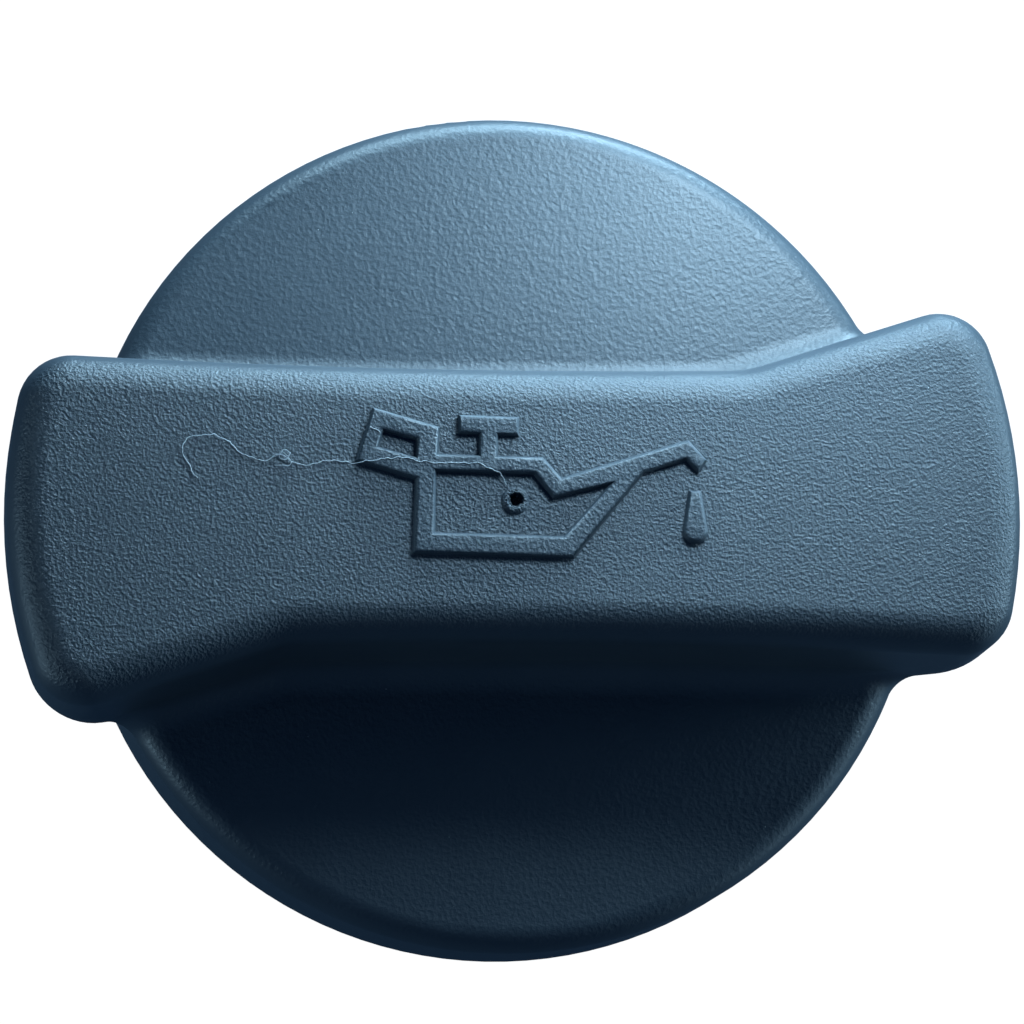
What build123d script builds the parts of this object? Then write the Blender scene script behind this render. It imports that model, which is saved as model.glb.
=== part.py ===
from build123d import *

import math
import os

# Quarter-turn oil filler cap: a moulded grip cover, a bayonet stub snapped into it, and a sealing ring.
# Millimetres. The origin is on the cap's axis, in the plane where the sealing ring meets the filler neck.
# +Z points out of the engine, towards the grip, and +X runs along the grip bar.

# Sealing ring
SEAL_THICKNESS = 3.0
SEAL_WIDTH = 7.0
SEAL_FIT = 0.1

# Bayonet stub
FLANGE_THICKNESS = 2.5
FLANGE_CLEARANCE = 0.2
SNAP_DEPTH = 0.5
SNAP_WIDTH = 1.4
SNAP_ANGLE = 26.0
SNAP_COUNT = 4
NECK_RADIUS = 16.5
NECK_WALL = 2.2
NECK_TAIL = 2.4
NECK_LEAD_IN = 0.9
LUG_DEPTH = 10.0
LUG_HEIGHT = 4.6
LUG_REACH = 3.1
LUG_ANGLE = 58.0
LUG_RAMP_ANGLE = 5.0
LUG_LEAD_IN = 1.0
KEY_WALL = 2.0
KEY_INNER_RADIUS = 0.8
KEY_CLEARANCE = 0.4
KEY_END_ROOM = 6.0
KEY_HEADROOM = 5.0

# Grip cover, disc and skirt
DISC_RADIUS = 32.5
DISC_WALL = 2.5
DISC_EDGE_RADIUS = 2.0
SKIRT_FOOT = 1.0
SKIRT_WALL = 2.7
SKIRT_DRAFT = 1.5
SKIRT_CHAMFER = 0.6
LEDGE_WIDTH = 1.8
LEDGE_HEIGHT = 3.0

# Grip cover, the S-shaped bar: its outline is drawn in the top plane and widens downwards with the draft
GRIP_HEIGHT = 12.5
GRIP_OVERHANG = 5.3
GRIP_HEEL_Y = 10.95
GRIP_KNEE_X = 17.2
GRIP_KNEE_Y = 10.4
GRIP_SIDE_BOW = 0.5
GRIP_FLARE_ANGLE = 18.0
GRIP_CORNER_RADIUS = 3.9
GRIP_KNEE_RADIUS = 9.0
GRIP_EDGE_RADIUS = 3.0
GRIP_ROOT_RADIUS = 2.5
GRIP_DRAFT = 2.5
GRIP_WALL = 2.4

# Grip cover, the undersides of the overhanging bar ends and the slots that core them out
WING_RIM = 0.7
WING_TIP_DEPTH = 8.0
WING_WEB = 0.8

# Levels and radii that several pieces share
FLANGE_TOP = SEAL_THICKNESS + FLANGE_THICKNESS
DISC_UNDERSIDE = FLANGE_TOP + LEDGE_HEIGHT
DISC_TOP = DISC_UNDERSIDE + DISC_WALL
GRIP_TOP = DISC_TOP + GRIP_HEIGHT
CORE_TOP = GRIP_TOP - GRIP_WALL
SNAP_LEVEL = SEAL_THICKNESS + FLANGE_THICKNESS / 2
LUG_FOOT = -LUG_DEPTH - LUG_HEIGHT
NECK_END = LUG_FOOT - NECK_TAIL
SKIRT_BORE = DISC_RADIUS - SKIRT_WALL
LEDGE_RADIUS = SKIRT_BORE - LEDGE_WIDTH
FLANGE_RADIUS = SKIRT_BORE - FLANGE_CLEARANCE
NECK_BORE = NECK_RADIUS - NECK_WALL
GRIP_END_RADIUS = DISC_RADIUS + GRIP_OVERHANG

# Two positions closer than this count as one
TOUCH = 0.01


def section(*corners):
    """A face in the XZ plane from its corners (radius, height)."""
    return make_face(Polyline(*[(radius, 0, height) for radius, height in corners], close=True))


def snap_beads(radius, angle):
    """The wedges, spread round a wall of this radius, that lock the stub's flange into the skirt."""
    profile = section(
        (radius - SNAP_DEPTH, SNAP_LEVEL - SNAP_WIDTH / 2),
        (radius, SNAP_LEVEL - SNAP_WIDTH / 2),
        (radius + SNAP_DEPTH, SNAP_LEVEL),
        (radius, SNAP_LEVEL + SNAP_WIDTH / 2),
        (radius - SNAP_DEPTH, SNAP_LEVEL + SNAP_WIDTH / 2),
    )
    bead = Rot(0, 0, -angle / 2) * revolve(profile, Axis.Z, angle)
    step = 360 / SNAP_COUNT
    return [Rot(0, 0, (place + 0.5) * step) * bead for place in range(SNAP_COUNT)]


def grip_outline(inset=0):
    """Plan of the bar: two bowed sides, two flares and two ends round the axis, alike after half a turn."""
    knee = Vector(GRIP_KNEE_X, GRIP_KNEE_Y)
    heel = Vector(-math.sqrt(GRIP_END_RADIUS**2 - GRIP_HEEL_Y**2), GRIP_HEEL_Y)
    side = knee - heel
    side_radius = side.length**2 / (8 * GRIP_SIDE_BOW) + GRIP_SIDE_BOW / 2
    side_centre = (heel + knee) / 2 + side.rotate(Axis.Z, 90).normalized() * (side_radius - GRIP_SIDE_BOW)
    beside = Pos(side_centre) * Circle(side_radius + inset)
    reach = 2 * GRIP_END_RADIUS
    flare = Pos(knee) * Rot(0, 0, GRIP_FLARE_ANGLE)
    above_flare = flare * Pos(0, reach - inset) * Rectangle(2 * reach, 2 * reach)
    cut = beside & above_flare
    end_radius = GRIP_END_RADIUS - inset
    plan = Circle(end_radius) - [cut, Rot(0, 0, 180) * cut]

    def at_end(vertex):
        return abs(vertex.center().length - end_radius) < TOUCH

    plan = fillet([v for v in plan.vertices() if not at_end(v)], GRIP_KNEE_RADIUS + inset)
    return fillet([v for v in plan.vertices() if at_end(v)], GRIP_CORNER_RADIUS - inset)


def drafted(plan, top, foot):
    """The prism under a plan, from one level down to another, widening with the bar's draft."""
    prism = extrude(Pos(0, 0, top) * plan, amount=foot - top)
    return draft(prism.faces().filter_by(Axis.Z, reverse=True), Plane.XY.offset(top), GRIP_DRAFT)


def wing_relief():
    """The space below the overhanging bar ends: under a cone that climbs from the disc's rim to the tips."""
    root = DISC_TOP - DISC_EDGE_RADIUS + WING_RIM
    slope = (GRIP_TOP - WING_TIP_DEPTH - root) / GRIP_OVERHANG
    inner = DISC_RADIUS - DISC_EDGE_RADIUS
    outer = GRIP_END_RADIUS + GRIP_HEIGHT
    cone = [(radius, root + slope * (radius - DISC_RADIUS)) for radius in (inner, outer)]
    return revolve(section(*cone, (outer, NECK_END), (inner, NECK_END)), Axis.Z)


def root_edges(body):
    """Where the bar's walls run into the disc's flat top and over its rounded rim."""
    found = []
    for edge in body.edges():
        radii = [math.hypot(point.X, point.Y) for point in (edge @ 0, edge @ 0.5, edge @ 1)]
        crosses = max(radii) - min(radii) > TOUCH
        if crosses and abs(edge.bounding_box().max.Z - DISC_TOP) < TOUCH:
            found.append(edge)
    return found


def grip_cover():
    """Disc, skirt and hollow grip bar, moulded in one."""
    foot_radius = DISC_RADIUS + (DISC_TOP - SKIRT_FOOT) * math.tan(math.radians(SKIRT_DRAFT))
    disc = revolve(
        section(
            (0, SKIRT_FOOT),
            (foot_radius - SKIRT_CHAMFER, SKIRT_FOOT),
            (foot_radius, SKIRT_FOOT + SKIRT_CHAMFER),
            (DISC_RADIUS, DISC_TOP),
            (0, DISC_TOP),
        ),
        Axis.Z,
    )
    disc = fillet(disc.edges().filter_by(GeomType.CIRCLE).sort_by(Axis.Z)[-1], DISC_EDGE_RADIUS)
    bar = drafted(grip_outline(), GRIP_TOP, FLANGE_TOP)
    bar = fillet(bar.faces().sort_by(Axis.Z)[-1].edges(), GRIP_EDGE_RADIUS)
    body = disc + (bar - wing_relief())
    body = fillet(root_edges(body), GRIP_ROOT_RADIUS)

    inside = revolve(
        section(
            (0, SKIRT_FOOT),
            (SKIRT_BORE + SKIRT_CHAMFER, SKIRT_FOOT),
            (SKIRT_BORE, SKIRT_FOOT + SKIRT_CHAMFER),
            (SKIRT_BORE, FLANGE_TOP),
            (LEDGE_RADIUS, FLANGE_TOP),
            (LEDGE_RADIUS, DISC_UNDERSIDE),
            (0, DISC_UNDERSIDE),
        ),
        Axis.Z,
    )
    core = drafted(grip_outline(GRIP_WALL), CORE_TOP, FLANGE_TOP)
    middle = core & Cylinder(LEDGE_RADIUS, 2 * GRIP_TOP)
    wing_slots = core - Cylinder(DISC_RADIUS + WING_WEB, 2 * GRIP_TOP)
    pocket_angle = SNAP_ANGLE + 2 * math.degrees(FLANGE_CLEARANCE / SKIRT_BORE)
    return body - [inside, middle, wing_slots, *snap_beads(SKIRT_BORE, pocket_angle)]


def bayonet_lug():
    """The lug on +X: a sector of a ring with a sloping upper face and a chamfered foot."""
    root = NECK_RADIUS - NECK_WALL / 2
    reach = NECK_RADIUS + LUG_REACH
    rise = reach * math.tan(math.radians(LUG_RAMP_ANGLE))
    profile = section(
        (root, LUG_FOOT),
        (reach - LUG_LEAD_IN, LUG_FOOT),
        (reach, LUG_FOOT + LUG_LEAD_IN),
        (reach, rise - LUG_DEPTH),
        (root, rise - LUG_DEPTH),
    )
    sector = Rot(0, 0, -LUG_ANGLE / 2) * revolve(profile, Axis.Z, LUG_ANGLE)
    above_ramp = Box(2 * reach, 2 * reach, 2 * reach, align=(Align.CENTER, Align.CENTER, Align.MIN))
    return sector - Pos(0, 0, -LUG_DEPTH) * Rot(LUG_RAMP_ANGLE, 0, 0) * above_ramp


def bayonet_stub():
    """Flange with its snap beads, blind neck with two lugs, and the key that turns with the grip bar."""
    body = revolve(
        section(
            (0, SEAL_THICKNESS),
            (NECK_BORE, SEAL_THICKNESS),
            (NECK_BORE, NECK_END),
            (NECK_RADIUS - NECK_LEAD_IN, NECK_END),
            (NECK_RADIUS, NECK_END + NECK_LEAD_IN),
            (NECK_RADIUS, SEAL_THICKNESS),
            (FLANGE_RADIUS, SEAL_THICKNESS),
            (FLANGE_RADIUS, FLANGE_TOP),
            (0, FLANGE_TOP),
        ),
        Axis.Z,
    )
    key_length = 2 * (LEDGE_RADIUS - KEY_END_ROOM)
    key_width = 2 * (GRIP_KNEE_Y - GRIP_WALL - KEY_CLEARANCE)
    key_rim = RectangleRounded(key_length, key_width, KEY_INNER_RADIUS + KEY_WALL)
    key_hollow = RectangleRounded(key_length - 2 * KEY_WALL, key_width - 2 * KEY_WALL, KEY_INNER_RADIUS)
    key = extrude(Pos(0, 0, FLANGE_TOP) * (key_rim - key_hollow), CORE_TOP - KEY_HEADROOM - FLANGE_TOP)
    lug = bayonet_lug()
    return body + [key, lug, Rot(0, 0, 180) * lug, *snap_beads(FLANGE_RADIUS, SNAP_ANGLE)]


def sealing_ring():
    """Flat rubber ring under the flange, round the neck."""
    bore = NECK_RADIUS + SEAL_FIT
    rim = bore + SEAL_WIDTH
    return revolve(section((bore, 0), (rim, 0), (rim, SEAL_THICKNESS), (bore, SEAL_THICKNESS)), Axis.Z)


os.makedirs("parts", exist_ok=True)
for make in (grip_cover, bayonet_stub, sealing_ring):
    piece = make()
    piece.label = make.__name__
    export_step(piece, f"parts/{make.__name__}.step")
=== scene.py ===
import math

import bmesh
import bpy
from mathutils import Matrix, Vector, noise


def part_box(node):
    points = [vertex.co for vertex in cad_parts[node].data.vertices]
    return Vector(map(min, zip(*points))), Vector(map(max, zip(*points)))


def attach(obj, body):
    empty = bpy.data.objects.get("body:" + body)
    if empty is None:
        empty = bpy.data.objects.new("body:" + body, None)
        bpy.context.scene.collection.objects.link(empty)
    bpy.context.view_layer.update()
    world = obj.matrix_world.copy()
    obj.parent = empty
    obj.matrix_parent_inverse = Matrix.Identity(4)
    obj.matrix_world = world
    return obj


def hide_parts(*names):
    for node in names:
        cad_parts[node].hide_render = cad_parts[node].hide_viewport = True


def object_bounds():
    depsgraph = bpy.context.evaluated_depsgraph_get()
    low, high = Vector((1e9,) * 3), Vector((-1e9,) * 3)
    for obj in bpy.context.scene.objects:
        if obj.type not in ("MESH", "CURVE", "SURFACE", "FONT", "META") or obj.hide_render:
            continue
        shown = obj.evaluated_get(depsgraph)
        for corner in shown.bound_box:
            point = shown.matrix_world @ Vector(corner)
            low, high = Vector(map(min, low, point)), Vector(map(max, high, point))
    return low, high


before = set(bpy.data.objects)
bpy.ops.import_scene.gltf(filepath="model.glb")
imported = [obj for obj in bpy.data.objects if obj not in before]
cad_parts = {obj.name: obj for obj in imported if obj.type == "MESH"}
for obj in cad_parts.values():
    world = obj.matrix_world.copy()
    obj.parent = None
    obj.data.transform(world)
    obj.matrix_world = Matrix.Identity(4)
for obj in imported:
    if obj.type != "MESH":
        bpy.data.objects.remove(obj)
cad_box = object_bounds()
MM = 0.001

# Sealing ring. A flat ring of black oil-resistant rubber, cut from a moulded sleeve, with its edges eased.
# It is stretched over the neck and lies loose against the flange.
RING_EDGE_RADIUS = 0.35 * MM
RING_EDGE_STEPS = 4
RING_SEGMENTS = 160
RING_GRAIN_PITCH = 0.35 * MM
RING_GRAIN_DEPTH = 0.012 * MM
SEAM_MERGE = 0.001 * MM
RUBBER_BLACK = (0.012, 0.0125, 0.0135, 1)
RUBBER_DUSTY = (0.030, 0.031, 0.032, 1)
RUBBER_ROUGHNESS = (0.55, 0.72)
# A fade that ends below any facing, so that the grain lies on all sides.
ALL_ROUND = (-1.2, -1.1)


def new_piece(name, mesh, material):
    """An object at the origin, in the scene, with one material."""
    piece = bpy.data.objects.new(name, mesh)
    bpy.context.scene.collection.objects.link(piece)
    piece.data.materials.clear()
    piece.data.materials.append(material)
    return piece


def mesh_from(name, bm):
    """A mesh with the shape of a bmesh, its faces turned outwards."""
    bmesh.ops.recalc_face_normals(bm, faces=bm.faces)
    mesh = bpy.data.meshes.new(name)
    bm.to_mesh(mesh)
    bm.free()
    return mesh


def turned_mesh(name, profile_at, segments):
    """A turned solid: a loop of (radius, height) that may change with the angle, carried round the Z axis."""
    bm = bmesh.new()
    rows = []
    for step in range(segments):
        angle = 2 * math.pi * step / segments
        cos, sin = math.cos(angle), math.sin(angle)
        loop = profile_at(angle)
        rows.append([bm.verts.new((radius * cos, radius * sin, height)) for radius, height in loop])
    for here, there in zip(rows, rows[1:] + rows[:1]):
        for i in range(len(here)):
            bm.faces.new((here[i - 1], there[i - 1], there[i], here[i])).smooth = True
    bmesh.ops.remove_doubles(bm, verts=bm.verts, dist=SEAM_MERGE)
    return mesh_from(name, bm)


def eased_rectangle(inner, outer, foot, top, radius, steps):
    """A rectangular section with rounded corners, as a loop of (radius, height)."""
    loop = []
    centres = (
        (outer - radius, foot + radius, -90),
        (outer - radius, top - radius, 0),
        (inner + radius, top - radius, 90),
        (inner + radius, foot + radius, 180),
    )
    for across, height, start in centres:
        for step in range(steps + 1):
            angle = math.radians(start + 90 * step / steps)
            loop.append((across + radius * math.cos(angle), height + radius * math.sin(angle)))
    return loop


def node_group(name, kind, inputs, outputs):
    """A new node group with its two end nodes and its sockets, given as {name: (type, default)}."""
    group = bpy.data.node_groups.new(name, kind)
    for way, sockets in (("INPUT", inputs), ("OUTPUT", outputs)):
        for label, (socket_type, default) in sockets.items():
            socket = group.interface.new_socket(label, in_out=way, socket_type=socket_type)
            if default is not None:
                socket.default_value = default
    return group, group.nodes.new("NodeGroupInput"), group.nodes.new("NodeGroupOutput")


def node(tree, kind, **settings):
    """A node with its settings; one that is no setting of the node gives the input socket of that name."""
    made = tree.nodes.new(kind)
    for label, value in settings.items():
        if hasattr(made, label):
            setattr(made, label, value)
        else:
            made.inputs[label.replace("_", " ")].default_value = value
    return made


# Moulded grain, shared by the plastics and the rubber: a crumpled, leather-like relief from the mould's
# etched faces. It fades out where the surface turns away from the parting direction. Scales count per pitch.
WARP_SCALE = 0.6
WARP_REACH = 1.1
PEBBLE_SCALE = 0.75
WRINKLE_SCALE = 1.3
PEBBLE_SHARE = 0.4
MOTTLE_SCALE = 180.0


def grain_group():
    """Height of the grain at a place, and how much of it there is."""
    group, given, result = node_group(
        "moulded_grain",
        "ShaderNodeTree",
        {
            "Position": ("NodeSocketVector", None),
            "Facing": ("NodeSocketFloat", 1.0),
            "Pitch": ("NodeSocketFloat", 0.5 * MM),
            "Amount": ("NodeSocketFloat", 1.0),
            "Fade From": ("NodeSocketFloat", 0.88),
            "Fade To": ("NodeSocketFloat", 0.985),
        },
        {"Height": ("NodeSocketFloat", None), "Cover": ("NodeSocketFloat", None)},
    )
    link = group.links.new
    scaled = node(group, "ShaderNodeVectorMath", operation="DIVIDE")
    pitch = group.nodes.new("ShaderNodeCombineXYZ")
    link(given.outputs["Position"], scaled.inputs[0])
    for axis in "XYZ":
        link(given.outputs["Pitch"], pitch.inputs[axis])
    link(pitch.outputs["Vector"], scaled.inputs[1])
    warp = node(group, "ShaderNodeTexNoise", Scale=WARP_SCALE, Detail=1.0)
    warp_size = node(group, "ShaderNodeVectorMath", operation="SCALE", Scale=WARP_REACH)
    warped = node(group, "ShaderNodeVectorMath", operation="ADD")
    pebbles = node(group, "ShaderNodeTexVoronoi", feature="F1", Scale=PEBBLE_SCALE)
    wrinkles = node(group, "ShaderNodeTexNoise", Scale=WRINKLE_SCALE, Detail=3.0, Roughness=0.65)
    link(scaled.outputs["Vector"], warp.inputs["Vector"])
    link(warp.outputs["Color"], warp_size.inputs[0])
    link(scaled.outputs["Vector"], warped.inputs[0])
    link(warp_size.outputs["Vector"], warped.inputs[1])
    link(warped.outputs["Vector"], pebbles.inputs["Vector"])
    link(scaled.outputs["Vector"], wrinkles.inputs["Vector"])
    blend = node(group, "ShaderNodeMix", data_type="FLOAT", Factor=PEBBLE_SHARE)
    link(wrinkles.outputs["Fac"], blend.inputs["A"])
    link(pebbles.outputs["Distance"], blend.inputs["B"])
    fade = node(group, "ShaderNodeMapRange", interpolation_type="SMOOTHSTEP")
    link(given.outputs["Facing"], fade.inputs["Value"])
    link(given.outputs["Fade From"], fade.inputs["From Min"])
    link(given.outputs["Fade To"], fade.inputs["From Max"])
    cover = node(group, "ShaderNodeMath", operation="MULTIPLY")
    link(fade.outputs["Result"], cover.inputs[0])
    link(given.outputs["Amount"], cover.inputs[1])
    relief = node(group, "ShaderNodeMath", operation="MULTIPLY")
    link(blend.outputs["Result"], relief.inputs[0])
    link(cover.outputs["Value"], relief.inputs[1])
    link(relief.outputs["Value"], result.inputs["Height"])
    link(cover.outputs["Value"], result.inputs["Cover"])
    return group


grain = grain_group()


def grained_material(name, pitch, depth, dark, light, rough, fade):
    """A moulded surface: its grain as bump, and a slow mottle of two tones and two degrees of gloss."""
    material = bpy.data.materials.new(name)
    material.use_nodes = True
    tree = material.node_tree
    link = tree.links.new
    shader = tree.nodes["Principled BSDF"]
    place = node(tree, "ShaderNodeTexCoord", name="place")
    normal = tree.nodes.new("ShaderNodeSeparateXYZ")
    link(place.outputs["Normal"], normal.inputs["Vector"])
    skin = node(tree, "ShaderNodeGroup", name="grain", node_tree=grain)
    skin.inputs["Pitch"].default_value = pitch
    skin.inputs["Fade From"].default_value, skin.inputs["Fade To"].default_value = fade
    link(place.outputs["Object"], skin.inputs["Position"])
    link(normal.outputs["Z"], skin.inputs["Facing"])
    bump = node(tree, "ShaderNodeBump", name="bump", Strength=1.0, Distance=depth)
    link(skin.outputs["Height"], bump.inputs["Height"])
    link(bump.outputs["Normal"], shader.inputs["Normal"])
    mottle = node(tree, "ShaderNodeTexNoise", Scale=MOTTLE_SCALE, Detail=4.0, Roughness=0.6)
    link(place.outputs["Object"], mottle.inputs["Vector"])
    tone = node(tree, "ShaderNodeMix", data_type="RGBA")
    tone.inputs["A"].default_value, tone.inputs["B"].default_value = dark, light
    link(mottle.outputs["Fac"], tone.inputs["Factor"])
    link(tone.outputs["Result"], shader.inputs["Base Color"])
    gloss = node(tree, "ShaderNodeMapRange", To_Min=rough[0], To_Max=rough[1])
    link(mottle.outputs["Fac"], gloss.inputs["Value"])
    link(gloss.outputs["Result"], shader.inputs["Roughness"])
    return material


ring_low, ring_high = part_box("sealing_ring")
ring_bore = min(Vector(v.co[:2]).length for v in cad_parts["sealing_ring"].data.vertices)
ring_section = eased_rectangle(
    ring_bore, ring_high.x, ring_low.z, ring_high.z, RING_EDGE_RADIUS, RING_EDGE_STEPS
)
ring = new_piece(
    "sealing_ring_rubber",
    turned_mesh("sealing_ring_rubber", lambda angle: ring_section, RING_SEGMENTS),
    grained_material(
        "ring_rubber",
        RING_GRAIN_PITCH,
        RING_GRAIN_DEPTH,
        RUBBER_BLACK,
        RUBBER_DUSTY,
        RUBBER_ROUGHNESS,
        ALL_ROUND,
    ),
)
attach(ring, "root")
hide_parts("sealing_ring")

# Bayonet stub. The insert with flange, blind neck and two lugs, moulded in black glass-filled nylon.
# It is snapped into the cover from below, and its satin skin shows faint flow marks of the fibres.
STUB_BLACK = (0.010, 0.0115, 0.014, 1)
STUB_FLOW = (0.021, 0.023, 0.026, 1)
STUB_GRAIN_PITCH = 0.9 * MM
STUB_GRAIN_DEPTH = 0.008 * MM
STUB_ROUGHNESS = (0.34, 0.5)
SHARP_ANGLE = math.radians(30)
FLAT_FACE_WEIGHT = 100


def merged_copy(node_name, piece_name, material):
    """A CAD node's shape as one closed skin."""
    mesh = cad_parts[node_name].data.copy()
    mesh.name = piece_name
    bm = bmesh.new()
    bm.from_mesh(mesh)
    bmesh.ops.remove_doubles(bm, verts=bm.verts, dist=SEAM_MERGE)
    bm.to_mesh(mesh)
    bm.free()
    return new_piece(piece_name, mesh, material)


def settled(piece):
    """Turns the piece's modifiers into its mesh."""
    graph = bpy.context.evaluated_depsgraph_get()
    shaped = piece.evaluated_get(graph)
    mesh = bpy.data.meshes.new_from_object(shaped, preserve_all_data_layers=True, depsgraph=graph)
    piece.modifiers.clear()
    mesh.name = piece.name
    piece.data = mesh


def smoothed(piece):
    """Smooth shading with hard edges kept, and flat faces that stay flat beside their roundings."""
    bm = bmesh.new()
    bm.from_mesh(piece.data)
    for face in bm.faces:
        face.smooth = True
    for edge in bm.edges:
        edge.smooth = edge.is_manifold and edge.calc_face_angle(0) < SHARP_ANGLE
    bm.to_mesh(piece.data)
    bm.free()
    weighting = piece.modifiers.new("weighted", "WEIGHTED_NORMAL")
    weighting.keep_sharp = True
    weighting.weight = FLAT_FACE_WEIGHT
    settled(piece)


stub = merged_copy(
    "bayonet_stub",
    "bayonet_stub_nylon",
    grained_material(
        "stub_nylon", STUB_GRAIN_PITCH, STUB_GRAIN_DEPTH, STUB_BLACK, STUB_FLOW, STUB_ROUGHNESS, ALL_ROUND
    ),
)
smoothed(stub)
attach(stub, "root")
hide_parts("bayonet_stub")

# Grip cover. Disc, skirt and hollow bar, one moulding in black plastic with a leather-like grain on its flat
# tops and smooth edges. The oil-can sign is raised on the bar, round the mark where the pin gate broke off.
GRIP_BLACK = (0.040, 0.057, 0.074, 1)
GRIP_GREY = (0.050, 0.071, 0.091, 1)
GRIP_ROUGHNESS = (0.42, 0.5)
GRIP_IOR = 1.75
BAR_GRAIN_PITCH = 0.22 * MM
DISC_GRAIN_PITCH = 0.32 * MM
GRAIN_DEPTH = 0.17 * MM
GRAIN_FADE = (0.45, 0.92)
# Heights between which the disc's grain gives way to the bar's, in millimetres.
BAR_FOOT = (15, 18)
DISC_GRAIN_AMOUNT = 0.4
SIGN_GRAIN_AMOUNT = 0.7
SIGN_GRAIN_RISE = (0.1, 0.25)
SIGN_HEIGHT = 0.45
SIGN_SINK = 0.3
# Section of its edge: how far the outline draws in at each height above the bar.
SIGN_EDGE = [(-SIGN_SINK, -0.14), (0.2, -0.04), (0.34, 0.05), (0.42, 0.16), (SIGN_HEIGHT, 0.27)]
SIGN_MITRE_LIMIT = 0.3
SIGN_CORNER = Vector((-8.19, -3.99))
SIGN_TURN = math.radians(-1.15)
SIGN_CAN = [
    (-3.14, 10.66), (1.75, 9.38), (1.65, 7.35), (4.75, 7.35), (4.75, 9.0), (3.2, 9.0), (3.2, 10.32),
    (7.6, 10.32), (7.6, 9.0), (6.05, 9.0), (6.05, 7.35), (9.45, 7.35), (10.85, 5.85), (20.27, 9.0),
    (21.65, 7.56), (21.06, 6.7), (20.15, 7.56), (16.95, 6.51), (11.82, 0.0), (0.0, 0.0), (0.1, 5.5),
    (-4.34, 6.72),
]
SIGN_HANDLE_HOLE = [(-2.42, 9.05), (0.11, 8.45), (0.08, 7.07), (-2.75, 7.76)]
SIGN_BODY_HOLE = [(1.5, 6.15), (8.84, 6.15), (10.3, 4.41), (14.58, 5.58), (11.11, 1.5), (1.5, 1.5)]
DROP_TOP = (20.83, 5.2)
DROP_TOP_HALF = 0.41
DROP_RADIUS = 0.87
DROP_CENTRE = (20.87, 2.25)
DROP_STEPS = 12
DROP_START = 170
DROP_SWEEP = 200
GATE_PLACE = Vector((-0.66, -0.02))
GATE_RADII = (1.04, 0.66, 0.5)
GATE_BEAD_HEIGHT = 0.24
GATE_BEAD_STEPS = 6
GATE_ROUGHNESS = 0.5
GATE_LUMPS = 9.0
GATE_LEAN = 0.25
GATE_LEAN_TURN = 2.2
GATE_HOLE_PLACE = Vector((-0.56, 0.07))
GATE_HOLE_RADIUS = 0.5
GATE_HOLE_DEPTH = 1.0
# The lip's ragged edge: waves round it, their share of the radius, and where they start.
GATE_LIP_WAVES = [(3, 0.07, 0.9), (8, 0.05, 0)]
# Section of the pit: shares of its radius and heights above the bar, from above the lip down to its foot.
GATE_HOLE_WALL = [(1.12, 0.5), (1.0, 0.02), (0.86, -0.25), (0.6, -GATE_HOLE_DEPTH)]
GATE_SINK = 0.15
GATE_SEGMENTS = 72

grip_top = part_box("grip_cover")[1].z / MM


def offset_outline(points, distance):
    """The outline moved by a distance to its right, corner by corner."""
    moved = []
    for i, here in enumerate(points):
        before, after = points[i - 1], points[(i + 1) % len(points)]
        first, second = (here - before).normalized(), (after - here).normalized()
        right = [Vector((way.y, -way.x)) for way in (first, second)]
        bisector = (right[0] + right[1]).normalized()
        moved.append(here + bisector * (distance / max(bisector.dot(right[0]), SIGN_MITRE_LIMIT)))
    return moved


def on_bar(points):
    """Points of the sign's own axes, in millimetres on the bar's top."""
    turn = Matrix.Rotation(SIGN_TURN, 2)
    return [SIGN_CORNER + turn @ Vector(point) for point in points]


def area(points):
    """Twice the area inside an outline, negative when it runs clockwise."""
    return sum(a.x * b.y - b.x * a.y for a, b in zip(points, points[1:] + points[:1]))


def relief(name, outer, holes, material):
    """A raised shape with sloping sides, sunk into the bar, from outlines in millimetres."""
    bm = bmesh.new()
    rims = {"foot": [], "top": []}
    for outline, grows in [(outer, 1)] + [(hole, -1) for hole in holes]:
        points = on_bar(outline)
        if area(points) < 0:
            points.reverse()
        rings = []
        for lift, inset in SIGN_EDGE:
            moved = offset_outline(points, -grows * inset)
            rings.append([bm.verts.new((p.x * MM, p.y * MM, (grip_top + lift) * MM)) for p in moved])
        for low, high in zip(rings, rings[1:]):
            for i in range(len(points)):
                bm.faces.new((low[i - 1], low[i], high[i], high[i - 1]))
        for label, rim in (("foot", rings[0]), ("top", rings[-1])):
            rims[label] += [bm.edges.get((rim[i - 1], rim[i])) for i in range(len(points))]
    for edges in rims.values():
        bmesh.ops.triangle_fill(bm, use_beauty=True, edges=edges)
    return new_piece(name, mesh_from(name, bm), material)


def drop_outline():
    """The falling drop: a narrow flat top and straight sides that run into a round belly."""
    top_x, top_y = DROP_TOP
    centre_x, centre_y = DROP_CENTRE
    outline = [(top_x + DROP_TOP_HALF, top_y), (top_x - DROP_TOP_HALF, top_y)]
    for step in range(DROP_STEPS + 1):
        angle = math.radians(DROP_START + DROP_SWEEP * step / DROP_STEPS)
        outline.append((centre_x + DROP_RADIUS * math.cos(angle), centre_y + DROP_RADIUS * math.sin(angle)))
    return outline


def cut_or_join(piece, tool, operation):
    """Joins a tool shape to the piece or cuts it away, and drops the tool."""
    change = piece.modifiers.new(operation, "BOOLEAN")
    change.operation = operation
    change.solver = "EXACT"
    change.object = tool
    settled(piece)
    bpy.data.objects.remove(tool)


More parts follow.
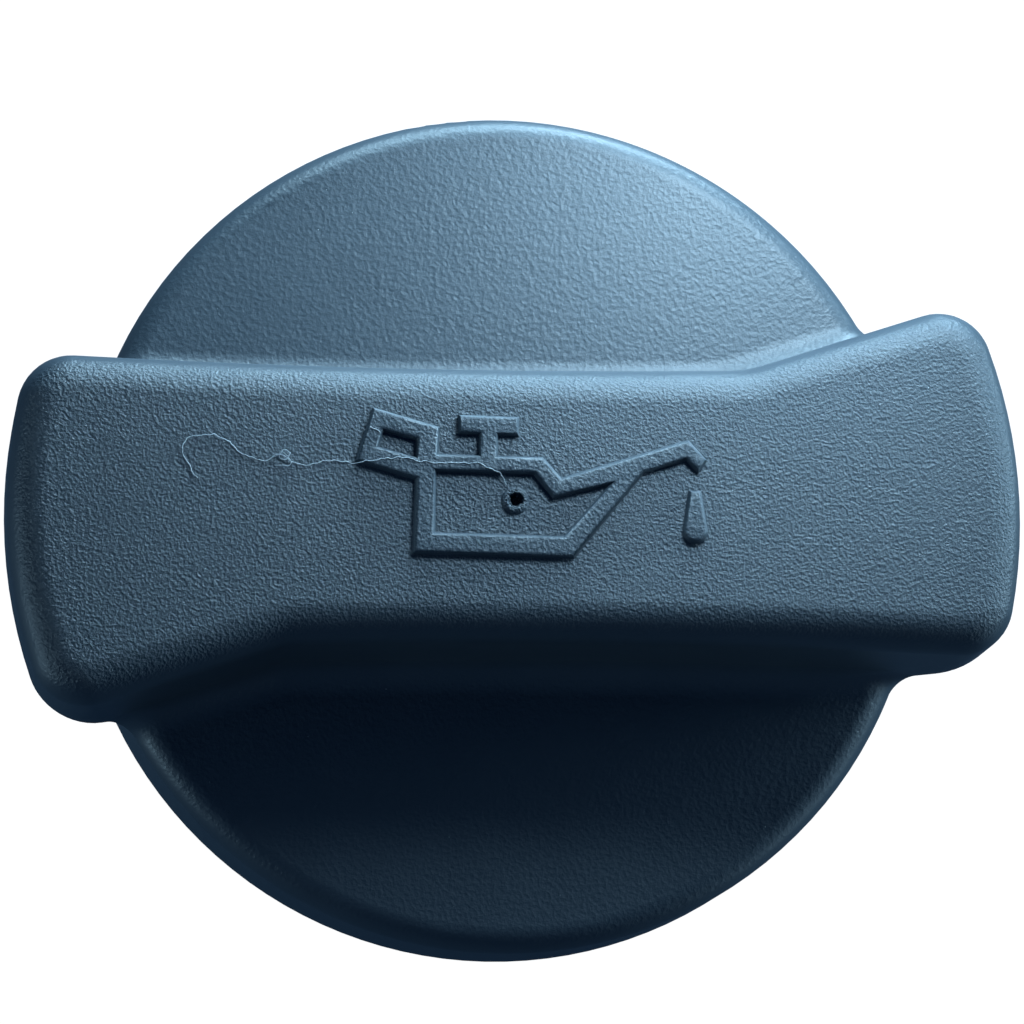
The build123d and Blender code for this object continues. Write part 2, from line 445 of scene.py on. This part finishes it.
def gate_bead(angle):
    """Section of the torn plastic round the gate: a flank up to a crest and a short drop to the hole."""
    foot, crest, mouth = GATE_RADII
    loop = [(foot, -GATE_SINK), (foot, 0)]
    for step in range(1, 2 * GATE_BEAD_STEPS):
        rise = step / GATE_BEAD_STEPS
        radius = foot + (crest - foot) * rise if rise < 1 else crest + (mouth - crest) * (rise - 1)
        lift = math.sin(math.pi * rise / 2) if rise < 1 else math.cos(math.pi * (rise - 1) / 3)
        spot = Vector((math.cos(angle), math.sin(angle), 0)) * radius * GATE_LUMPS
        lift *= 1 + GATE_LEAN * math.sin(angle - GATE_LEAN_TURN) + GATE_ROUGHNESS * noise.noise(spot)
        loop.append((radius, GATE_BEAD_HEIGHT * lift))
    loop.append((mouth, -GATE_SINK))
    return [(radius * MM, (grip_top + lift) * MM) for radius, lift in loop]


def gate_hole(angle):
    """Section of the pit that the broken pin leaves, ragged at its lip and narrower at its foot."""
    ragged = 1
    for waves, share, start in GATE_LIP_WAVES:
        ragged += share * math.sin(waves * angle + start)
    lip = GATE_HOLE_RADIUS * ragged
    wall = [(lip * share, lift) for share, lift in GATE_HOLE_WALL]
    loop = [(0, wall[0][1])] + wall + [(0, wall[-1][1])]
    return [(radius * MM, (grip_top + lift) * MM) for radius, lift in loop]


def at_gate(name, profile_at, place, material):
    """A turned shape set at the gate."""
    mesh = turned_mesh(name, profile_at, GATE_SEGMENTS)
    mesh.transform(Matrix.Translation((place.x * MM, place.y * MM, 0)))
    return new_piece(name, mesh, material)


def by_height(tree, given, low, high, below, above):
    """A value that goes from one to another between two heights, in millimetres."""
    ramp = node(
        tree,
        "ShaderNodeMapRange",
        From_Min=low * MM,
        From_Max=high * MM,
        To_Min=below,
        To_Max=above,
    )
    tree.links.new(given, ramp.inputs["Value"])
    return ramp.outputs["Result"]


grip_grained = grained_material(
    "grip_grained", BAR_GRAIN_PITCH, GRAIN_DEPTH, GRIP_BLACK, GRIP_GREY, GRIP_ROUGHNESS, GRAIN_FADE
)
grip_tree = grip_grained.node_tree
grip_tree.nodes["Principled BSDF"].inputs["IOR"].default_value = GRIP_IOR
grip_place = grip_tree.nodes.new("ShaderNodeSeparateXYZ")
grip_tree.links.new(grip_tree.nodes["place"].outputs["Object"], grip_place.inputs["Vector"])
grip_height = grip_place.outputs["Z"]
grip_grain = grip_tree.nodes["grain"]
pitch = by_height(grip_tree, grip_height, *BAR_FOOT, DISC_GRAIN_PITCH, BAR_GRAIN_PITCH)
grip_tree.links.new(pitch, grip_grain.inputs["Pitch"])
on_tops = by_height(grip_tree, grip_height, *BAR_FOOT, DISC_GRAIN_AMOUNT, 1.0)
sign_foot, sign_top = (grip_top + rise for rise in SIGN_GRAIN_RISE)
on_sign = by_height(grip_tree, grip_height, sign_foot, sign_top, 1.0, SIGN_GRAIN_AMOUNT)
amount = node(grip_tree, "ShaderNodeMath", operation="MULTIPLY")
grip_tree.links.new(on_tops, amount.inputs[0])
grip_tree.links.new(on_sign, amount.inputs[1])
grip_tree.links.new(amount.outputs["Value"], grip_grain.inputs["Amount"])

cover = merged_copy("grip_cover", "grip_cover_plastic", grip_grained)
cut_or_join(cover, relief("can", SIGN_CAN, [SIGN_HANDLE_HOLE, SIGN_BODY_HOLE], grip_grained), "UNION")
cut_or_join(cover, relief("drop", drop_outline(), [], grip_grained), "UNION")
cut_or_join(cover, at_gate("gate_bead", gate_bead, GATE_PLACE, grip_grained), "UNION")
cut_or_join(cover, at_gate("gate_hole", gate_hole, GATE_HOLE_PLACE, grip_grained), "DIFFERENCE")
smoothed(cover)
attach(cover, "root")
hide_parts("grip_cover")

# Moulding thread. The hair-thin string of plastic that the gate drew out, pale and curled, left lying
# across the bar and the sign from the gate to the bar's left side, with two small snarls on the way.
THREAD_RADIUS = 0.03
THREAD_STEP = 0.06 * MM
THREAD_PALE = (0.85, 0.88, 0.9, 1)
THREAD_CLEAR = (0.25, 0.30, 0.34, 1)
THREAD_ROUGHNESS = 0.35
THREAD_SIDES = 6
THREAD_WANDER = 0.45 * MM
THREAD_KINKS = 1400.0
THREAD_PATCHES = 900.0
# Its points: x and y in millimetres, and how far the thread lies above the bar's top.
THREAD_RUN = [
    (-23.93, 1.37, 0), (-24.52, 2.09, 0), (-25.14, 3.71, 0), (-24.57, 4.39, 0), (-23.48, 4.57, 0.1),
    (-22.08, 4.39, 0.1), (-21.04, 3.45, 0), (-19.35, 2.75, 0), (-17.89, 3.23, 0.15), (-16.56, 2.52, 0),
    (-14.21, 2.74, 0), (-12.9, 2.66, 0.1), (-12.1, 2.62, SIGN_HEIGHT), (-9.36, 3.01, SIGN_HEIGHT),
    (-6.91, 2.71, SIGN_HEIGHT), (-3.51, 2.65, SIGN_HEIGHT), (-2.4, 2.25, SIGN_HEIGHT),
    (-1.75, 1.85, 0.2), (-1.25, 1.15, 0.1),
]
THREAD_SNARL = [
    (-18.76, 2.91, 0), (-18.2, 3.1, 0.1), (-17.68, 3.54, 0.3), (-17.2, 3.3, 0.35), (-17.5, 2.95, 0.2),
    (-18.0, 2.95, 0.1), (-17.95, 3.4, 0.3), (-17.3, 3.0, 0.25), (-17.29, 2.5, 0), (-18.39, 2.4, 0),
]
THREAD_BIT = [(-11.3, 5.25, SIGN_HEIGHT), (-10.9, 5.05, SIGN_HEIGHT), (-10.59, 4.85, SIGN_HEIGHT)]


def thread_tree(material):
    """Lays a round strand along each chain of edges."""
    tree, given, result = node_group(
        "laid_thread",
        "GeometryNodeTree",
        {
            "Chain": ("NodeSocketGeometry", None),
            "Radius": ("NodeSocketFloat", 0.03 * MM),
            "Step": ("NodeSocketFloat", 0.1 * MM),
            "Sides": ("NodeSocketInt", 6),
            "Wander": ("NodeSocketFloat", 0.1 * MM),
            "Kinks": ("NodeSocketFloat", 1000.0),
        },
        {"Strand": ("NodeSocketGeometry", None)},
    )
    link = tree.links.new
    path = tree.nodes.new("GeometryNodeMeshToCurve")
    curved = node(tree, "GeometryNodeCurveSplineType", spline_type="CATMULL_ROM")
    stepped = node(tree, "GeometryNodeResampleCurve", mode="LENGTH")
    kinks = node(tree, "ShaderNodeTexNoise", Detail=1.0)
    sideways = node(tree, "ShaderNodeVectorMath", operation="MULTIPLY_ADD")
    sideways.inputs[1].default_value = (1, 1, 0)
    sideways.inputs[2].default_value = (-0.5, -0.5, 0)
    sway = node(tree, "ShaderNodeVectorMath", operation="SCALE")
    swayed = tree.nodes.new("GeometryNodeSetPosition")
    section = tree.nodes.new("GeometryNodeCurvePrimitiveCircle")
    strand = node(tree, "GeometryNodeCurveToMesh", Fill_Caps=True)
    smooth = tree.nodes.new("GeometryNodeSetShadeSmooth")
    whole = tree.nodes.new("GeometryNodeRealizeInstances")
    coloured = node(tree, "GeometryNodeSetMaterial", Material=material)
    link(given.outputs["Chain"], path.inputs["Mesh"])
    link(path.outputs["Curve"], curved.inputs["Curve"])
    link(curved.outputs["Curve"], stepped.inputs["Curve"])
    link(given.outputs["Step"], stepped.inputs["Length"])
    link(given.outputs["Sides"], section.inputs["Resolution"])
    link(given.outputs["Radius"], section.inputs["Radius"])
    link(given.outputs["Kinks"], kinks.inputs["Scale"])
    link(kinks.outputs["Color"], sideways.inputs[0])
    link(sideways.outputs["Vector"], sway.inputs[0])
    link(given.outputs["Wander"], sway.inputs["Scale"])
    link(stepped.outputs["Curve"], swayed.inputs["Geometry"])
    link(sway.outputs["Vector"], swayed.inputs["Offset"])
    link(swayed.outputs["Geometry"], strand.inputs["Curve"])
    link(section.outputs["Curve"], strand.inputs["Profile Curve"])
    link(strand.outputs["Mesh"], smooth.inputs["Geometry"])
    link(smooth.outputs["Geometry"], whole.inputs["Geometry"])
    link(whole.outputs["Geometry"], coloured.inputs["Geometry"])
    link(coloured.outputs["Geometry"], result.inputs["Strand"])
    return tree


def grown(piece, tree, sizes):
    """Runs a geometry tree on the piece with its named inputs set, and keeps the result as a plain mesh."""
    growth = piece.modifiers.new(tree.name, "NODES")
    growth.node_group = tree
    for socket in tree.interface.items_tree:
        if socket.name in sizes:
            growth[socket.identifier] = sizes[socket.name]
    settled(piece)


def chain_mesh(name, chains):
    """Chains of edges through points given in millimetres above the bar's top."""
    bm = bmesh.new()
    for chain in chains:
        places = [Vector((x, y, grip_top + lift + THREAD_RADIUS)) * MM for x, y, lift in chain]
        verts = [bm.verts.new(place) for place in places]
        for pair in zip(verts, verts[1:]):
            bm.edges.new(pair)
    mesh = bpy.data.meshes.new(name)
    bm.to_mesh(mesh)
    bm.free()
    return mesh


def mottled_material(name, first, second, roughness, scale):
    """A small pale part whose tone wanders between two colours."""
    material = bpy.data.materials.new(name)
    material.use_nodes = True
    tree = material.node_tree
    shader = tree.nodes["Principled BSDF"]
    shader.inputs["Roughness"].default_value = roughness
    place = tree.nodes.new("ShaderNodeTexCoord")
    patches = node(tree, "ShaderNodeTexNoise", Scale=scale, Detail=2.0)
    tone = node(tree, "ShaderNodeMix", data_type="RGBA")
    tone.inputs["A"].default_value, tone.inputs["B"].default_value = first, second
    tree.links.new(place.outputs["Object"], patches.inputs["Vector"])
    tree.links.new(patches.outputs["Fac"], tone.inputs["Factor"])
    tree.links.new(tone.outputs["Result"], shader.inputs["Base Color"])
    return material


thread_plastic = mottled_material(
    "thread_plastic", THREAD_PALE, THREAD_CLEAR, THREAD_ROUGHNESS, THREAD_PATCHES
)
thread = new_piece(
    "moulding_thread", chain_mesh("moulding_thread", [THREAD_RUN, THREAD_SNARL, THREAD_BIT]), thread_plastic
)
grown(
    thread,
    thread_tree(thread_plastic),
    {
        "Radius": THREAD_RADIUS * MM,
        "Step": THREAD_STEP,
        "Sides": THREAD_SIDES,
        "Wander": THREAD_WANDER,
        "Kinks": THREAD_KINKS,
    },
)
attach(thread, "root")

# Dust. A few pale specks of lint and plastic swarf that lie loose on the cover's tops, each far smaller than
# the grain is deep.
DUST_DENSITY = 14000.0
DUST_RADIUS = 0.05 * MM
DUST_SIZES = (0.35, 1.0)
DUST_SEED = 4
DUST_PALE = (0.55, 0.60, 0.62, 1)
DUST_GREY = (0.25, 0.28, 0.30, 1)
DUST_ROUGHNESS = 0.8
DUST_PATCHES = 600.0
DUST_LEVEL = 0.97
# Just under the disc's top, so that no speck lies inside the hollow cover.
DUST_LOWEST = 10.5 * MM


def dust_tree(material):
    """Scatters specks over the faces that point up and lie above a height."""
    tree, given, result = node_group(
        "scattered_dust",
        "GeometryNodeTree",
        {
            "Ground": ("NodeSocketGeometry", None),
            "Density": ("NodeSocketFloat", 1000.0),
            "Radius": ("NodeSocketFloat", 0.05 * MM),
            "Smallest": ("NodeSocketFloat", 0.4),
            "Largest": ("NodeSocketFloat", 1.0),
            "Level": ("NodeSocketFloat", 0.97),
            "Lowest": ("NodeSocketFloat", 0.0),
            "Seed": ("NodeSocketInt", 1),
        },
        {"Dust": ("NodeSocketGeometry", None)},
    )
    link = tree.links.new
    normal = tree.nodes.new("GeometryNodeInputNormal")
    upward = tree.nodes.new("ShaderNodeSeparateXYZ")
    level = node(tree, "FunctionNodeCompare", data_type="FLOAT", operation="GREATER_THAN")
    place = tree.nodes.new("GeometryNodeInputPosition")
    height = tree.nodes.new("ShaderNodeSeparateXYZ")
    outside = node(tree, "FunctionNodeCompare", data_type="FLOAT", operation="GREATER_THAN")
    open_top = node(tree, "FunctionNodeBooleanMath", operation="AND")
    points = tree.nodes.new("GeometryNodeDistributePointsOnFaces")
    speck = node(tree, "GeometryNodeMeshIcoSphere", Subdivisions=2)
    sizes = node(tree, "FunctionNodeRandomValue", data_type="FLOAT")
    specks = tree.nodes.new("GeometryNodeInstanceOnPoints")
    smooth = tree.nodes.new("GeometryNodeSetShadeSmooth")
    whole = tree.nodes.new("GeometryNodeRealizeInstances")
    coloured = node(tree, "GeometryNodeSetMaterial", Material=material)
    link(normal.outputs["Normal"], upward.inputs["Vector"])
    link(upward.outputs["Z"], level.inputs["A"])
    link(given.outputs["Level"], level.inputs["B"])
    link(place.outputs["Position"], height.inputs["Vector"])
    link(height.outputs["Z"], outside.inputs["A"])
    link(given.outputs["Lowest"], outside.inputs["B"])
    link(level.outputs["Result"], open_top.inputs[0])
    link(outside.outputs["Result"], open_top.inputs[1])
    link(given.outputs["Ground"], points.inputs["Mesh"])
    link(open_top.outputs["Boolean"], points.inputs["Selection"])
    link(given.outputs["Density"], points.inputs["Density"])
    link(given.outputs["Seed"], points.inputs["Seed"])
    link(given.outputs["Radius"], speck.inputs["Radius"])
    link(given.outputs["Smallest"], next(s for s in sizes.inputs if s.identifier == "Min_001"))
    link(given.outputs["Largest"], next(s for s in sizes.inputs if s.identifier == "Max_001"))
    link(given.outputs["Seed"], sizes.inputs["Seed"])
    link(points.outputs["Points"], specks.inputs["Points"])
    link(points.outputs["Rotation"], specks.inputs["Rotation"])
    link(speck.outputs["Mesh"], specks.inputs["Instance"])
    link(next(s for s in sizes.outputs if s.identifier == "Value_001"), specks.inputs["Scale"])
    link(specks.outputs["Instances"], whole.inputs["Geometry"])
    link(whole.outputs["Geometry"], smooth.inputs["Geometry"])
    link(smooth.outputs["Geometry"], coloured.inputs["Geometry"])
    link(coloured.outputs["Geometry"], result.inputs["Dust"])
    return tree


dust_grey = mottled_material("dust_grey", DUST_PALE, DUST_GREY, DUST_ROUGHNESS, DUST_PATCHES)
dust = new_piece("dust_specks", cover.data.copy(), dust_grey)
grown(
    dust,
    dust_tree(dust_grey),
    {
        "Density": DUST_DENSITY,
        "Radius": DUST_RADIUS,
        "Smallest": DUST_SIZES[0],
        "Largest": DUST_SIZES[1],
        "Level": DUST_LEVEL,
        "Lowest": DUST_LOWEST,
        "Seed": DUST_SEED,
    },
)
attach(dust, "root")

# Stage. A wide floor under the stub that shows white to the camera, two small panel lamps close behind the
# cap, a bluish window low behind it, weak panels low at its ends and front, and the camera above.
FLOOR_SIZE = 12.0
FLOOR_PALE = (0.09, 0.10, 0.12, 1)
FLOOR_SEEN = (1.0, 1.0, 1.0, 1)
FLOOR_REFLECTED = (0.004, 0.018, 0.05, 1)
LAMP_AIM = Vector((0, 5, 18)) * MM
FILL_COLOUR = (0.5, 0.8, 1.0)
KEY_PANEL = {"turn": 55, "rise": 38, "distance": 0.062, "size": (0.026, 0.02), "brightness": 1.6}
KEY_COLOUR = (0.53, 0.80, 1.0)
WINDOW_PANEL = {"turn": 73, "rise": 4, "distance": 0.3, "size": (0.12, 0.1), "brightness": 1.5}
SIDE_PANEL = {"turn": 100, "rise": 12, "distance": 0.08, "size": (0.03, 0.02), "brightness": 0.5}
FILL_PANEL = {"rise": 5, "distance": 0.5, "size": (0.2, 0.1)}
FILL_TURNS = {15: 0.9, 195: 0.25, 330: 0.08}
SKY_BLUE = (0.008, 0.026, 0.07, 1)
CAMERA_PLACE = Vector((-33.39, -47.94, 313.29)) * MM
CAMERA_AIM = Vector((0.512, 1.159, 11.0)) * MM
CAMERA_ROLL = 0.007
CAMERA_LENS = 141.05
CAMERA_SENSOR = 36
CAMERA_CLIP = (0.01, 50)


def panel_lamp(name, turn, rise, distance, size, brightness, colour):
    """A soft panel that faces the cap: its direction in degrees, its distance and size in metres."""
    lamp = bpy.data.lights.new(name, "AREA")
    lamp.shape = "RECTANGLE"
    lamp.size, lamp.size_y = size
    # the power that gives this brightness on a white card held square to the lamp
    lamp.energy = (math.pi * distance) ** 2 * brightness
    lamp.color = colour
    holder = bpy.data.objects.new(name, lamp)
    bpy.context.scene.collection.objects.link(holder)
    turn, rise = math.radians(turn), math.radians(rise)
    way = Vector((math.cos(rise) * math.cos(turn), math.cos(rise) * math.sin(turn), math.sin(rise)))
    holder.location = LAMP_AIM + way * distance
    holder.rotation_mode = "QUATERNION"
    holder.rotation_quaternion = way.to_track_quat("Z", "Y")
    holder.visible_camera = False


floor_mesh = bpy.data.meshes.new("floor")
bm = bmesh.new()
bmesh.ops.create_grid(bm, x_segments=1, y_segments=1, size=FLOOR_SIZE / 2)
bmesh.ops.translate(bm, verts=bm.verts, vec=(0, 0, cad_box[0].z))
bm.to_mesh(floor_mesh)
bm.free()
floor_paint = bpy.data.materials.new("floor_paint")
floor_paint.use_nodes = True
floor_tree = floor_paint.node_tree
floor_tree.nodes.clear()
floor_out = floor_tree.nodes.new("ShaderNodeOutputMaterial")
floor_diffuse = node(floor_tree, "ShaderNodeBsdfDiffuse", Color=FLOOR_PALE)
floor_glow = floor_tree.nodes.new("ShaderNodeEmission")
floor_sum = floor_tree.nodes.new("ShaderNodeAddShader")
floor_tone = node(floor_tree, "ShaderNodeMix", data_type="RGBA")
floor_tone.inputs["A"].default_value, floor_tone.inputs["B"].default_value = FLOOR_REFLECTED, FLOOR_SEEN
rays = floor_tree.nodes.new("ShaderNodeLightPath")
seen = rays.outputs["Is Camera Ray"]
floor_tree.links.new(seen, floor_tone.inputs["Factor"])
floor_tree.links.new(floor_tone.outputs["Result"], floor_glow.inputs["Color"])
for label in ("Is Glossy Ray", "Is Transmission Ray"):
    either = node(floor_tree, "ShaderNodeMath", operation="MAXIMUM")
    floor_tree.links.new(seen, either.inputs[0])
    floor_tree.links.new(rays.outputs[label], either.inputs[1])
    seen = either.outputs["Value"]
floor_tree.links.new(seen, floor_glow.inputs["Strength"])
floor_tree.links.new(floor_diffuse.outputs[0], floor_sum.inputs[0])
floor_tree.links.new(floor_glow.outputs[0], floor_sum.inputs[1])
floor_tree.links.new(floor_sum.outputs[0], floor_out.inputs["Surface"])
floor = new_piece("floor", floor_mesh, floor_paint)

world = bpy.data.worlds.new("studio")
bpy.context.scene.world = world
world.use_nodes = True
sky_tree = world.node_tree
sky_tone = node(sky_tree, "ShaderNodeMix", data_type="RGBA")
sky_tone.inputs["A"].default_value, sky_tone.inputs["B"].default_value = SKY_BLUE, FLOOR_SEEN
sky_rays = sky_tree.nodes.new("ShaderNodeLightPath")
sky_tree.links.new(sky_rays.outputs["Is Camera Ray"], sky_tone.inputs["Factor"])
sky_tree.links.new(sky_tone.outputs["Result"], sky_tree.nodes["Background"].inputs["Color"])

panel_lamp("key_panel", colour=KEY_COLOUR, **KEY_PANEL)
panel_lamp("window_panel", colour=FILL_COLOUR, **WINDOW_PANEL)
panel_lamp("side_panel", colour=FILL_COLOUR, **SIDE_PANEL)
for turn, brightness in FILL_TURNS.items():
    panel_lamp(f"fill_panel_{turn}", turn=turn, brightness=brightness, colour=FILL_COLOUR, **FILL_PANEL)

lens = bpy.data.cameras.new("camera")
lens.lens = CAMERA_LENS
lens.sensor_width = CAMERA_SENSOR
lens.clip_start, lens.clip_end = CAMERA_CLIP
camera = bpy.data.objects.new("camera", lens)
bpy.context.scene.collection.objects.link(camera)
back = (CAMERA_PLACE - CAMERA_AIM).normalized()
right = Vector((0, 1, 0)).cross(back).normalized()
right = Matrix.Rotation(-CAMERA_ROLL, 3, back) @ right
up = back.cross(right)
camera.matrix_world = Matrix.Translation(CAMERA_PLACE) @ Matrix((right, up, back)).transposed().to_4x4()
bpy.context.scene.camera = camera
bpy.context.scene.view_settings.view_transform = "Standard"
